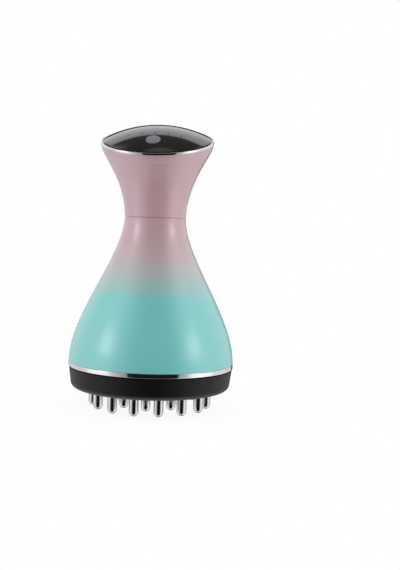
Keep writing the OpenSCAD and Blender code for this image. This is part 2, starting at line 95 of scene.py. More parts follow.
def spinPiece(name, profile, material, place=None, closed=True, angle=sharpAngle):
    bm = bmesh.new()
    spinInto(bm, profile, spinSteps, closed)
    if place:
        bmesh.ops.transform(bm, matrix=place, verts=bm.verts)
    return finishMesh(bm, name, material, angle)


def arc(cx, cz, radius, start, end, steps):
    angles = [math.radians(start + (end - start) * i / steps) for i in range(steps + 1)]
    return [(cx + radius * math.cos(a), cz + radius * math.sin(a)) for a in angles]


def curve(a, b, c, d, steps):
    # cubic curve from a to d, pulled towards b and c on its way
    points = []
    for i in range(steps + 1):
        t = i / steps
        s = 1 - t
        points.append(tuple(s**3 * a[k] + 3 * s * s * t * b[k] + 3 * s * t * t * c[k] + t**3 * d[k]
                            for k in (0, 1)))
    return points


def roundSlot(width, height, depth, segments):
    # solid with a rounded slot outline, along Z from 0 to depth
    bm = bmesh.new()
    made = bmesh.ops.create_circle(bm, cap_ends=True, radius=height / 2, segments=segments,
                                   matrix=Matrix.Rotation(math.pi / segments, 4, "Z"))
    for side in (-1, 1):
        half = [v for v in made["verts"] if v.co.x * side > 0]
        bmesh.ops.translate(bm, verts=half, vec=(side * (width - height) / 2, 0, 0))
    grown = bmesh.ops.extrude_face_region(bm, geom=bm.faces[:])
    top = [g for g in grown["geom"] if isinstance(g, bmesh.types.BMVert)]
    bmesh.ops.translate(bm, verts=top, vec=(0, 0, depth))
    return bm


def cutWith(piece, cutterBm):
    cutter = finishMesh(cutterBm, "cutter", None)
    cut = piece.modifiers.new("cut", "BOOLEAN")
    cut.operation = "DIFFERENCE"
    cut.solver = "MANIFOLD"
    cut.object = cutter
    depsgraph = bpy.context.evaluated_depsgraph_get()
    result = bpy.data.meshes.new_from_object(piece.evaluated_get(depsgraph))
    piece.modifiers.clear()
    piece.data = result
    bpy.data.objects.remove(cutter)
    # the cut leaves its new edges smooth, so they are marked again
    bm = bmesh.new()
    bm.from_mesh(result)
    markSharp(bm, sharpAngle)
    bm.to_mesh(result)
    bm.free()


def addPost(bm, radius, low, high, matrix, segments=32):
    place = matrix @ Matrix.Translation((0, 0, (low + high) / 2))
    bmesh.ops.create_cone(bm, cap_ends=True, segments=segments, radius1=radius, radius2=radius,
                          depth=high - low, matrix=place)


# material helpers

def newMaterial(name):
    material = bpy.data.materials.new(name)
    material.use_nodes = True
    return material, material.node_tree, material.node_tree.nodes["Principled BSDF"]


def link(tree, source, target):
    tree.links.new(source, target)


def noise(tree, scale, detail, stretch=(1, 1, 1)):
    where = tree.nodes.new("ShaderNodeTexCoord")
    mapping = tree.nodes.new("ShaderNodeMapping")
    mapping.inputs["Scale"].default_value = stretch
    texture = tree.nodes.new("ShaderNodeTexNoise")
    texture.inputs["Scale"].default_value = scale
    texture.inputs["Detail"].default_value = detail
    link(tree, where.outputs["Object"], mapping.inputs["Vector"])
    link(tree, mapping.outputs["Vector"], texture.inputs["Vector"])
    return texture.outputs["Fac"]


def spread(tree, value, low, high, fromLow=0.3, fromHigh=0.7):
    # without a range of its own, the value is a noise, which is nearly all within 0.3 to 0.7
    node = tree.nodes.new("ShaderNodeMapRange")
    node.inputs["From Min"].default_value = fromLow
    node.inputs["From Max"].default_value = fromHigh
    node.inputs["To Min"].default_value = low
    node.inputs["To Max"].default_value = high
    link(tree, value, node.inputs["Value"])
    return node.outputs["Result"]


def times(tree, first, second):
    node = tree.nodes.new("ShaderNodeMath")
    node.operation = "MULTIPLY"
    link(tree, first, node.inputs[0])
    link(tree, second, node.inputs[1])
    return node.outputs[0]


def mixColour(tree, factor, first, second):
    node = tree.nodes.new("ShaderNodeMix")
    node.data_type = "RGBA"
    link(tree, factor, node.inputs["Factor"])
    for key, colour in (("A", first), ("B", second)):
        socket = next(s for s in node.inputs if s.name == key and s.type == "RGBA")
        socket.default_value = (*colour, 1)
    return next(s for s in node.outputs if s.type == "RGBA")


def addBump(tree, shader, height, strength, distance):
    bump = tree.nodes.new("ShaderNodeBump")
    bump.inputs["Strength"].default_value = strength
    bump.inputs["Distance"].default_value = distance
    link(tree, height, bump.inputs["Height"])
    link(tree, bump.outputs["Normal"], shader.inputs["Normal"])


def objectPlace(tree):
    # a point's place on the object, and its height
    where = tree.nodes.new("ShaderNodeTexCoord")
    axes = tree.nodes.new("ShaderNodeSeparateXYZ")
    link(tree, where.outputs["Object"], axes.inputs["Vector"])
    return where.outputs["Object"], axes.outputs["Z"]


def awayFromAxis(tree, place):
    # distance from the Z axis
    flat = tree.nodes.new("ShaderNodeVectorMath")
    flat.operation = "MULTIPLY"
    flat.inputs[1].default_value = (1, 1, 0)
    reach = tree.nodes.new("ShaderNodeVectorMath")
    reach.operation = "LENGTH"
    link(tree, place, flat.inputs[0])
    link(tree, flat.outputs[0], reach.inputs[0])
    return reach.outputs["Value"]


def srgb(r, g, b):
    def one(c):
        c = c / 255
        return c / 12.92 if c <= 0.04045 else ((c + 0.055) / 1.055) ** 2.4
    return (one(r), one(g), one(b))


# finishes

housingPaint = {
    # the sprayed fade from its top to its bottom
    "fade": (
        (0.0, srgb(180, 144, 150)),
        (0.25, srgb(179, 148, 153)),
        (0.44, srgb(177, 157, 160)),
        (0.64, srgb(167, 169, 170)),
        (0.81, srgb(140, 180, 179)),
        (1.0, srgb(102, 191, 188)),
    ),
    "fadeTop": 103 * mm,
    "fadeBottom": 60 * mm,
    "flakeScale": 9000,
    "driftScale": 35,
    "shade": (0.985, 1.015),
    "specular": 1.0,
    "coat": 0.4,
    "coatRoughness": 0.2,
    "coatIor": 1.6,
    "roughness": (0.38, 0.42),
    "roughnessScale": 260,
    "bump": 0.04,
    "bumpScale": 700,
    "bumpHeight": 0.05 * mm,
}


def makeHousingPaint():
    p = housingPaint
    material, tree, shader = newMaterial("housingPaint")
    z = objectPlace(tree)[1]
    height = spread(tree, z, 0, 1, p["fadeTop"], p["fadeBottom"])
    ramp = tree.nodes.new("ShaderNodeValToRGB")
    ramp.color_ramp.interpolation = "EASE"
    stops = ramp.color_ramp.elements
    for stop, (place, colour) in zip(stops, (p["fade"][0], p["fade"][-1])):
        stop.position = place
        stop.color = (*colour, 1)
    for place, colour in p["fade"][1:-1]:
        stops.new(place).color = (*colour, 1)
    link(tree, height, ramp.inputs["Fac"])
    # fine pearl flake and a slow drift of the sprayed coat
    flake = spread(tree, noise(tree, p["flakeScale"], detail=2), *p["shade"])
    drift = spread(tree, noise(tree, p["driftScale"], detail=2), *p["shade"])
    shade = times(tree, flake, drift)
    scaled = tree.nodes.new("ShaderNodeVectorMath")
    scaled.operation = "SCALE"
    link(tree, ramp.outputs["Color"], scaled.inputs[0])
    link(tree, shade, scaled.inputs["Scale"])
    link(tree, scaled.outputs[0], shader.inputs["Base Color"])
    shader.inputs["Specular IOR Level"].default_value = p["specular"]
    shader.inputs["Coat Weight"].default_value = p["coat"]
    shader.inputs["Coat Roughness"].default_value = p["coatRoughness"]
    shader.inputs["Coat IOR"].default_value = p["coatIor"]
    roughness = spread(tree, noise(tree, p["roughnessScale"], detail=4), *p["roughness"])
    link(tree, roughness, shader.inputs["Roughness"])
    addBump(tree, shader, noise(tree, p["bumpScale"], detail=2), p["bump"], p["bumpHeight"])
    return material


# the scales of tone and bump are shares of the roughness pattern's scale
glossDetail = {
    "scale": 300,
    "toneShare": 0.3,
    "bumpShare": 4,
    "smoother": 0.85,
    "rougher": 1.15,
    "bumpHeight": 0.05 * mm,
}


def makeGloss(name, colour, roughness, bump=0.03, tint=0.1, specular=0.5):
    p = glossDetail
    material, tree, shader = newMaterial(name)
    shader.inputs["Specular IOR Level"].default_value = specular
    darker = tuple(c * (1 - tint) for c in colour)
    lighter = tuple(min(1, c * (1 + tint)) for c in colour)
    patches = spread(tree, noise(tree, p["scale"] * p["toneShare"], detail=3), 0, 1)
    link(tree, mixColour(tree, patches, darker, lighter), shader.inputs["Base Color"])
    rough = spread(tree, noise(tree, p["scale"], detail=4),
                   roughness * p["smoother"], roughness * p["rougher"])
    link(tree, rough, shader.inputs["Roughness"])
    grain = noise(tree, p["scale"] * p["bumpShare"], detail=2)
    addBump(tree, shader, grain, bump, p["bumpHeight"])
    return material


headPaint = {
    "black": srgb(12, 12, 13),
    "paleEdge": srgb(106, 106, 108),
    "paleEdgeTop": 13.4 * mm,
    "paleEdgeInside": 37 * mm,
    "paleEdgeOutside": 41 * mm,
    "edgeMottle": (0.85, 1.1),
    "edgeMottleScale": 120,
    "specular": 0.16,
    "roughness": (0.44, 0.56),
    "roughnessScale": 300,
    "bump": 0.03,
    "bumpScale": 1200,
    "bumpHeight": 0.05 * mm,
}


def makeHeadPlastic():
    # black plastic that turns a paler grey at its lower outer edge
    p = headPaint
    material, tree, shader = newMaterial("headPlastic")
    place, z = objectPlace(tree)
    low = spread(tree, z, 0, 1, p["paleEdgeTop"], headLow.z)
    outside = spread(tree, awayFromAxis(tree, place), 0, 1, p["paleEdgeInside"], p["paleEdgeOutside"])
    edgeMottle = spread(tree, noise(tree, p["edgeMottleScale"], detail=4), *p["edgeMottle"])
    # the height counts twice, so that the paler grey fades out softly
    paleEdge = low
    for factor in (low, outside, edgeMottle):
        paleEdge = times(tree, paleEdge, factor)
    link(tree, mixColour(tree, paleEdge, p["black"], p["paleEdge"]), shader.inputs["Base Color"])
    shader.inputs["Specular IOR Level"].default_value = p["specular"]
    roughness = spread(tree, noise(tree, p["roughnessScale"], detail=4), *p["roughness"])
    link(tree, roughness, shader.inputs["Roughness"])
    addBump(tree, shader, noise(tree, p["bumpScale"], detail=2), p["bump"], p["bumpHeight"])
    return material


metalDetail = {
    "duller": 0.93,
    "scale": 400,
    "toneShare": 0.5,
    "bumpShare": 3,
    "smoother": 0.8,
    "rougher": 1.25,
    "bump": 0.02,
    "bumpHeight": 0.03 * mm,
}


def makeMetal(name, colour, roughness, stretch=(1, 1, 1)):
    p = metalDetail
    material, tree, shader = newMaterial(name)
    shader.inputs["Metallic"].default_value = 1
    duller = tuple(c * p["duller"] for c in colour)
    patches = spread(tree, noise(tree, p["scale"] * p["toneShare"], detail=3), 0, 1)
    link(tree, mixColour(tree, patches, duller, colour), shader.inputs["Base Color"])
    rough = spread(tree, noise(tree, p["scale"], detail=4, stretch=stretch),
                   roughness * p["smoother"], roughness * p["rougher"])
    link(tree, rough, shader.inputs["Roughness"])
    grain = noise(tree, p["scale"] * p["bumpShare"], detail=2, stretch=stretch)
    addBump(tree, shader, grain, p["bump"], p["bumpHeight"])
    return material


paint = makeHousingPaint()
trimChrome = makeMetal("trimChrome", (0.54, 0.54, 0.55), 0.09)
prongChrome = makeMetal("prongChrome", (0.42, 0.42, 0.43), 0.06)
headPlastic = makeHeadPlastic()
panelGloss = makeGloss("panelGloss", srgb(20, 20, 22), 0.07, bump=0.01)
buttonPlastic = makeGloss("buttonPlastic", srgb(112, 112, 118), 0.42, tint=0.05)
lensPlastic = makeGloss("lensPlastic", srgb(30, 31, 33), 0.2, specular=0.05)
sealRubber = makeGloss("sealRubber", srgb(40, 40, 42), 0.6)
screwSteel = makeMetal("screwSteel", (0.6, 0.6, 0.62), 0.28, stretch=(1, 1, 8))
plateSteel = makeMetal("plateSteel", (0.55, 0.56, 0.58), 0.32, stretch=(1, 12, 1))
boardLacquer = makeGloss("boardLacquer", srgb(34, 92, 58), 0.3, tint=0.2)
lampCase = makeGloss("lampCase", srgb(235, 226, 180), 0.35)
innerPlastic = makeGloss("innerPlastic", srgb(196, 198, 202), 0.45)
mountPlastic = makeGloss("mountPlastic", srgb(70, 72, 78), 0.5)
cellWrap = makeGloss("cellWrap", srgb(52, 96, 160), 0.25)
motorMetal = makeMetal("motorMetal", (0.6, 0.61, 0.63), 0.3, stretch=(1, 1, 10))
weightBrass = makeMetal("weightBrass", (0.68, 0.55, 0.3), 0.3)
print("materials made")


# housing

neckR = 16.65 * mm

lowerShell = {
    "bellyPull": 25.4 * mm,
    "waistPull": 21.6 * mm,
    "steps": 90,
    "wall": 2.2 * mm,
    "seamWall": 1.2,                    # how much thicker the wall is at its two ends
    "footWall": 1.3,
    "innerLow": 4 * mm,                 # the inner curve stops this far from the ends
    "innerHigh": 5 * mm,
    "groove": 0.4 * mm,
    "edge": 0.25 * mm,
    "footEdge": ((1, 0), (0.3, 0.3)),   # points of the broken edges, in shares of the edge
    "seamEdge": ((0, 0.6), (0.3, 0.1)),
}


def buildLowerShell():
    p = lowerShell
    edge, groove = p["edge"], p["groove"]
    outerR, low = bellyHigh.x, bellyLow.z
    outer = curve((outerR, low), (outerR, low + p["bellyPull"]),
                  (neckR, seamZ - p["waistPull"]), (neckR, seamZ), p["steps"])
    foot = [(outerR - edge * a, low + edge * b) for a, b in p["footEdge"]]
    side = [q for q in outer if low + edge < q[1] < seamZ - groove - edge]
    seam = [(neckR - edge * a, seamZ - groove - edge * b) for a, b in p["seamEdge"]]
    seam += [(neckR - groove, seamZ - groove), (neckR - groove, seamZ),
             (neckR - p["wall"] * p["seamWall"], seamZ)]
    inner = [(r - p["wall"], z) for r, z in reversed(outer)
             if low + p["innerLow"] < z < seamZ - p["innerHigh"]]
    inner += [(outerR - p["wall"] * p["footWall"], low)]
    piece = spinPiece("lowerShell", foot + side + seam + inner, paint)
    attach(piece, housing)
    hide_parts("lower_shell")


upperShell = {
    "height": 41.6 * mm,
    "neckPull": 15.8 * mm,
    "flarePull": 7.4 * mm,
    "wall": 2.2 * mm,
    "edge": 0.15 * mm,
    "lipHeight": 4.2 * mm,
    "lipLean": 1 * mm,
    "flareSteps": 36,
    "lipSteps": 10,
    "segments": 160,
}
topRim = {
    "radius": 30.5 * mm,
    "tilt": math.radians(17),
    "cavityWall": 2.2 * mm,
    "trimHeight": 1.1 * mm,
    "trimWidth": 0.8 * mm,
    "trimProud": 0.1 * mm,
    "crown": 0.33 * mm,
    "ledge": 0.6 * mm,
}
chargePort = {
    "width": 9.38 * mm,
    "height": 3.7 * mm,
    "depth": 10 * mm,
    "start": 24.3 * mm,
    "middle": -5.37 * mm,
    "segments": 48,
}
rimZ = seamZ + upperShell["height"]
# the slanted rim's own frame: its plane is at zero and its Z axis points out of the panel
panelPlace = Matrix.Translation((0, 0, rimZ)) @ Matrix.Rotation(topRim["tilt"], 4, "X")


def ease(t):
    return t * t * (3 - 2 * t)


def upperSections():
    # sections as (radius, offset back, height, tilt), from the seam to the top of the lip
    p = upperShell
    tilt = topRim["tilt"]
    lowW = -topRim["trimHeight"] - p["lipHeight"]
    lean = math.atan(2 * p["lipLean"] / p["lipHeight"])
    foot = (topRim["radius"] - p["lipLean"], rimZ + lowW * math.cos(tilt))
    pull = (foot[0] - p["flarePull"] * math.sin(lean), foot[1] - p["flarePull"] * math.cos(lean))
    side = curve((neckR, seamZ), (neckR, seamZ + p["neckPull"]), pull, foot, p["flareSteps"])
    sections = []
    for i, (r, z) in enumerate(side):
        t = i / p["flareSteps"]
        sections.append((r, -lowW * math.sin(tilt) * ease(t), z, tilt * ease(t)))
    for i in range(1, p["lipSteps"] + 1):
        w = lowW + p["lipHeight"] * i / p["lipSteps"]
        r = topRim["radius"] - p["lipLean"] * ((w + topRim["trimHeight"]) / p["lipHeight"]) ** 2
        sections.append((r, -w * math.sin(tilt), rimZ + w * math.cos(tilt), tilt))
    return sections


def buildUpperShell():
    p = upperShell
    edge = p["edge"]
    sections = upperSections()
    r, back, z, tilt = sections[0]
    sections[:1] = [(r - edge, back, z, tilt), (r, back, z + edge, tilt)]
    rings = []
    bm = bmesh.new()
    for r, back, z, tilt in sections:
        place = Matrix.Translation((0, back, z)) @ Matrix.Rotation(tilt, 4, "X")
        made = bmesh.ops.create_circle(bm, cap_ends=False, radius=r, segments=p["segments"],
                                       matrix=place)
        rings.append(list({e for v in made["verts"] for e in v.link_edges}))
    for low, high in zip(rings, rings[1:]):
        bmesh.ops.bridge_loops(bm, edges=low + high)
    bmesh.ops.recalc_face_normals(bm, faces=bm.faces)
    bmesh.ops.solidify(bm, geom=bm.faces[:], thickness=p["wall"])
    piece = finishMesh(bm, "upperShell", paint)
    # opening at the back for the charging plug
    port = chargePort
    slot = roundSlot(port["width"], port["height"], port["depth"], port["segments"])
    place = panelPlace @ Matrix.Translation((0, port["start"], port["middle"]))
    place = place @ Matrix.Rotation(math.radians(-90), 4, "X")
    bmesh.ops.transform(slot, matrix=place, verts=slot.verts)
    cutWith(piece, slot)
    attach(piece, housing)
    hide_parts("upper_shell")


buildLowerShell()
buildUpperShell()
print("shells built")


# trim rings

baseTrim = {"width": 3.4 * mm, "bevel": 0.22 * mm}
trimDetail = {"steps": 4, "angle": 50}


def buildTrimRings():
    steps, angle = trimDetail["steps"], trimDetail["angle"]
    bevel = baseTrim["bevel"]
    inner = baseR - baseTrim["width"]
    low, high = ringLow.z, ringHigh.z
    profile = ([(inner, low), (baseR - bevel, low)]
               + arc(baseR - bevel, low + bevel, bevel, -90, 0, steps)
               + arc(baseR - bevel, high - bevel, bevel, 0, 90, steps)
               + [(inner, high)])
    base = spinPiece("baseTrimRing", profile, trimChrome, angle=angle)
    # the top ring has a rounded crown, and a ledge inside it that the panel lies on
    p = topRim
    crown, ledge = p["crown"], p["ledge"]
    cavityR = p["radius"] - p["cavityWall"]
    outer = p["radius"] + p["trimProud"]
    inside = p["radius"] - p["trimWidth"] + p["trimProud"]
    profile = ([(cavityR, -p["trimHeight"]), (outer, -p["trimHeight"])]
               + arc(outer - crown, -crown, crown, 0, 90, steps)
               + arc(inside + crown, -crown, crown, 90, 180, steps)
               + [(inside, -ledge), (cavityR, -ledge)])
    top = spinPiece("topTrimRing", profile, trimChrome, place=panelPlace, angle=angle)
    for piece, node in ((base, "base_trim_ring"), (top, "top_trim_ring")):
        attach(piece, housing)
        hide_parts(node)


buildTrimRings()
print("trim rings built")


# massage head and prongs

head = {
    "sideHeight": 11.6 * mm,
    "lowR": 43.6 * mm,
    "cornerR": 3.4 * mm,
    "cornerSteps": 16,
    "floor": 2.2 * mm,
    "faceRings": (21.8 * mm, 33 * mm, 40 * mm),
    "shoulderIn": 0.3 * mm,
    # how far in and down the points of the shoulder's broken edge are
    "shoulderEdge": ((0.05 * mm, 0.4 * mm), (0.25 * mm, 0.2 * mm)),
    "step": 1.6 * mm,
    "collarIn": 3.5 * mm,
    "collarWall": 3 * mm,
    "screwCount": 5,
    "screwCircleR": 36.6 * mm,
    "recessR": 2.7 * mm,
    "recessDepth": 4.5 * mm,
}


def buildHead():
    p = head
    low = headLow.z
    shoulderZ = low + p["sideHeight"]
    shoulderR = baseR - p["shoulderIn"]
    lean = math.degrees(math.atan((shoulderR - p["lowR"]) / (p["sideHeight"] - p["cornerR"])))
    stepR = shoulderR - p["step"]
    collarR = baseR - p["collarIn"]
    innerR = collarR - p["collarWall"]
    face = [(0, low)] + [(r, low) for r in p["faceRings"]]
    corner = arc(p["lowR"] - p["cornerR"], low + p["cornerR"], p["cornerR"], -90, -lean,
                 p["cornerSteps"])
    shoulder = [(shoulderR - inset, shoulderZ - drop) for inset, drop in p["shoulderEdge"]]
    stepTop = shoulder[-1][1]
    collar = [(stepR, stepTop), (stepR, ringLow.z), (collarR, ringLow.z), (collarR, headHigh.z)]
    inside = [(innerR, headHigh.z), (innerR, low + p["floor"]), (0, low + p["floor"])]
    piece = spinPiece("massageHead", face + corner + shoulder + collar + inside, headPlastic)
    # screw recesses, each midway between two outer prongs
    cutters = bmesh.new()
    outer = prongs["outer"]
    pitch = 360 / outer["count"]
    for i in range(p["screwCount"]):
        gap = math.floor(i * outer["count"] / p["screwCount"])
        turn = math.radians(outer["turn"] - 90 + pitch * (0.5 + gap))
        place = Matrix.Rotation(turn, 4, "Z") @ Matrix.Translation((p["screwCircleR"], 0, 0))
        addPost(cutters, p["recessR"], low - mm, low + p["recessDepth"], place)
    cutWith(piece, cutters)
    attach(piece, housing)
    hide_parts("massage_head")


prongs = {
    "radius": 2.6 * mm,
    "flatR": 0.5 * mm,
    "top": 13.4 * mm,
    "tipSteps": 14,
    "segments": 40,
    "angle": 60,
    "outer": {"count": 15, "circleR": 31 * mm, "turn": -8},
    "inner": {"count": 7, "circleR": 16.4 * mm, "turn": 0},
}


def buildProngs(name, node, ring):
    p = prongs
    start = math.degrees(math.asin(p["flatR"] / p["radius"]))
    middle = p["radius"] * math.cos(math.radians(start))
    profile = ([(0, 0)] + arc(0, middle, p["radius"], -90 + start, 0, p["tipSteps"])
               + [(p["radius"], p["top"]), (0, p["top"])])
    bm = bmesh.new()
    spinInto(bm, profile, p["segments"], closed=False)
    first = bm.verts[:] + bm.edges[:] + bm.faces[:]
    for i in range(ring["count"]):
        turn = math.radians(ring["turn"] - 90 + 360 * i / ring["count"])
        place = Matrix.Rotation(turn, 4, "Z") @ Matrix.Translation((ring["circleR"], 0, 0))
        copy = bmesh.ops.duplicate(bm, geom=first)
        verts = [g for g in copy["geom"] if isinstance(g, bmesh.types.BMVert)]
        bmesh.ops.transform(bm, matrix=place, verts=verts)
    # the first prong, on the axis, was only there to be copied
    verts = [g for g in first if isinstance(g, bmesh.types.BMVert)]
    bmesh.ops.delete(bm, geom=verts, context="VERTS")
    piece = finishMesh(bm, name, prongChrome, p["angle"])
    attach(piece, housing)
    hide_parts(node)


buildHead()
buildProngs("outerProngs", "outer_prongs", prongs["outer"])
buildProngs("innerProngs", "inner_prongs", prongs["inner"])
print("head and prongs built")


# panel, button and lenses

panel = {
    "radius": 29.7 * mm,
    "height": 7.2 * mm,
    "domeSteps": 48,
    "domeEdge": ((0.1 * mm, 0.03 * mm), (0, -0.08 * mm)),   # in and up from the dome's rim
    "groove": 0.62 * mm,
    "grooveDepth": 0.5 * mm,
    "edge": 0.6 * mm,
    "wall": 2 * mm,
    "skirtR": 28.2 * mm,
    "skirtWall": 1.4 * mm,
    "skirtDepth": 3 * mm,
    "innerIn": 1.5 * mm,
    "innerSteps": 20,
}
domeR = (panel["radius"] ** 2 + panel["height"] ** 2) / (2 * panel["height"])
domeW = panel["height"] - domeR


def domeHeight(x, y, grow=0):
    return math.sqrt((domeR + grow) ** 2 - x * x - y * y) + domeW


def buildPanel():
    p = panel
    edgeR = p["radius"] - p["groove"]
    reach = math.degrees(math.asin(edgeR / domeR))
    outer = arc(0, domeW, domeR, 90, 90 - reach, p["domeSteps"])
    edgeZ = outer.pop()[1]
    outer += [(edgeR - inset, edgeZ + rise) for inset, rise in p["domeEdge"]]
    outer += [(edgeR, -p["grooveDepth"]), (p["radius"], -p["grooveDepth"]),
              (p["radius"], -p["edge"])]
    inside = p["skirtR"] - p["skirtWall"]
    skirt = [(p["skirtR"], -p["edge"]), (p["skirtR"], -p["skirtDepth"]),
             (inside, -p["skirtDepth"]), (inside, -p["edge"])]
    innerR = domeR - p["wall"]
    innerReach = math.degrees(math.asin((inside - p["innerIn"]) / innerR))
    inner = arc(0, domeW, innerR, 90 - innerReach, 90, p["innerSteps"])
    # both arcs end on the axis
    profile = [(0, outer[0][1])] + outer[1:] + skirt + inner[:-1] + [(0, inner[-1][1])]
    piece = spinPiece("controlPanel", profile, panelGloss, place=panelPlace, closed=False)
    hole = bmesh.new()
    place = panelPlace @ Matrix.Translation((0, -button["offset"], 0))
    addPost(hole, button["radius"] + button["gap"], *button["hole"], place, button["segments"])
    cutWith(piece, hole)
    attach(piece, housing)
    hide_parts("control_panel")


button = {
    "radius": 3.9 * mm,
    "offset": 18.2 * mm,
    "proud": 0.25 * mm,
    "rings": (0, 0.2, 0.4, 0.6, 0.8),   # shares of the radius, so that the top can follow the dome
    "edge": 0.35 * mm,
    "edgeSteps": 6,
    "side": 1.2 * mm,
    "depth": 2.2 * mm,
    "segments": 96,
    "angle": 50,
    "gap": 0.3 * mm,
    "hole": (-2 * mm, 12 * mm),
}


def buildButton():
    p = button
    r, edge = p["radius"], p["edge"]
    # heights here are depths below the dome, turned into places on it afterwards
    profile = ([(r * share, 0) for share in p["rings"]]
               + arc(r - edge, -edge, edge, 90, 0, p["edgeSteps"])
               + [(r, -p["side"]), (r, -p["depth"]), (0, -p["depth"])])
    bm = bmesh.new()
    spinInto(bm, profile, p["segments"], closed=False)
    for v in bm.verts:
        y = v.co.y - p["offset"]
        v.co.z += domeHeight(v.co.x, y, p["proud"])
        v.co.y = y
    bmesh.ops.transform(bm, matrix=panelPlace, verts=bm.verts)
    piece = finishMesh(bm, "powerButton", buttonPlastic, p["angle"])
    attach(piece, "button")
    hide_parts("power_button")


lenses = {
    "radius": 0.6 * mm,
    "pitch": 7 * mm,
    "offset": 10 * mm,
    "count": 5,
    "depth": 3 * mm,
    "proud": 0.03 * mm,
}


def buildLenses():
    p = lenses
    bm = bmesh.new()
    for i in range(p["count"]):
        x = (i - (p["count"] - 1) / 2) * p["pitch"]
        top = domeHeight(x, -p["offset"])
        place = Matrix.Translation((x, -p["offset"], 0))
        addPost(bm, p["radius"], top - p["depth"], top, place)
    # the tops follow the dome
    for v in bm.verts:
        surface = domeHeight(v.co.x, v.co.y)
        if v.co.z > surface - p["depth"] / 2:
            v.co.z = surface + p["proud"]
    bmesh.ops.transform(bm, matrix=panelPlace, verts=bm.verts)
    piece = finishMesh(bm, "indicatorLenses", lensPlastic)
    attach(piece, housing)
    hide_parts("indicator_lenses")


buildPanel()
buildButton()
buildLenses()
print("panel built")


# finishes of the CAD nodes that stay

nodeFinish = {
    "head_gasket": sealRubber,
    "head_screws": screwSteel,
    "prong_plate": plateSteel,
    "plate_screws": screwSteel,
    "button_gasket": sealRubber,
    "indicator_leds": lampCase,
    "control_board": boardLacquer,
    "board_screws": screwSteel,
    "tact_switch": plateSteel,
    "switch_plunger": mountPlastic,
    "charging_socket": plateSteel,
    "neck_sleeve": innerPlastic,
    "neck_nut": innerPlastic,
    "battery_cell": cellWrap,
    "battery_pad": sealRubber,
    "motor_can": motorMetal,
    "motor_shaft": screwSteel,
    "eccentric_weight": weightBrass,
    "motor_mount": mountPlastic,
    "motor_screws": screwSteel,
}
for nodeName, finish in nodeFinish.items():
    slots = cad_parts[nodeName].data.materials
    slots.clear()
    slots.append(finish)
print("frame nodes finished")


# studio

floorPaper = {
    "size": 6.0,
    "colour": (0.9, 0.9, 0.9),
    "roughness": (0.45, 0.55),
    "roughnessScale": 60,
    "white": (0.93, 1.0),       # share of plain white under the object and away from it
    "whiteReach": (0.03, 0.085),
}


def buildFloor():
    p = floorPaper
    bm = bmesh.new()
    bmesh.ops.create_grid(bm, x_segments=2, y_segments=2, size=p["size"] / 2)
    material, tree, shader = newMaterial("floorPaper")
    roughness = spread(tree, noise(tree, p["roughnessScale"], detail=3), *p["roughness"])
    link(tree, roughness, shader.inputs["Roughness"])
    shader.inputs["Base Color"].default_value = (*p["colour"], 1)
    # the camera sees white paper away from the object, and its shadow close by
    where = tree.nodes.new("ShaderNodeTexCoord")
    reach = tree.nodes.new("ShaderNodeVectorMath")
    reach.operation = "LENGTH"
    link(tree, where.outputs["Object"], reach.inputs[0])
    white = spread(tree, reach.outputs["Value"], *p["white"], *p["whiteReach"])
    path = tree.nodes.new("ShaderNodeLightPath")
    glow = tree.nodes.new("ShaderNodeEmission")
    mix = tree.nodes.new("ShaderNodeMixShader")
    share = times(tree, path.outputs["Is Camera Ray"], white)
    output = tree.nodes["Material Output"]
    link(tree, share, mix.inputs["Fac"])
    link(tree, shader.outputs[0], mix.inputs[1])
    link(tree, glow.outputs[0], mix.inputs[2])
    link(tree, mix.outputs[0], output.inputs["Surface"])
    floor = finishMesh(bm, "floor", material)
    floor.visible_glossy = False


# turns are degrees from the front towards +X, and rises are degrees above level
studio = {
    "fill": 0.93,               # level of the light from all round
    "side": 1.3,                # tall side screens
    "sideRight": 1.5,
    "sideTop": (48, 64),        # rise at which the side screens end
    "far": 0.84,                # share of their level low down, where they meet the table
    "farFoot": (-30, -20),
    "farTop": (4, -4),
    "gap": 0.015,               # dark gap between the screens, behind the camera
    "gapMiddle": 10.7,
    "gapHalf": 35.5,
    "gapSoft": 1,
    "gapRamp": 32,              # beside the gap the screens are darker
    "gapEdge": 0.5,
    "back": 1.35,               # back wall, up to a slanting edge
    "backSlope": 1.3,
    "backEdge": (-0.04, 0.04),
    "backTurn": (128, 142),
    "backSide": 0.8,            # share of the screens' level at the foot of the wall
    "backLow": 0.05,            # dark strip there, which draws the object's outline
    "backLowTurn": (156, 164),
    "backLowTop": (19, 24),
    "high": 0.17,               # level above the screens and the wall
    "zenith": 0.62,             # panel overhead
    "zenithRise": (74, 79),
    "table": 1.2,               # level of the table close by
    "tableRise": (-62, -76),
    "coreMiddle": 5,
    "core": 5.0,                # strip lights in front of the side screens
    "coreTone": (1.0, 0.86, 0.85),
    "coreTurn": 67,
    "coreHalf": 15,
    "coreFlat": 0.3,            # share of the half width that is at full level
    "coreRise": 19,
    "coreRiseHalf": 12.5,
    "coreRiseFlat": 0.4,
    "lowCore": 0.6,             # wide, weak lights below them
    "lowCoreTurn": 76,
    "lowCoreHalf": 27,
    "lowCoreFlat": 0.4,
    "lowCoreRise": (-38, 0),
    "lowCoreSoft": 4,
}


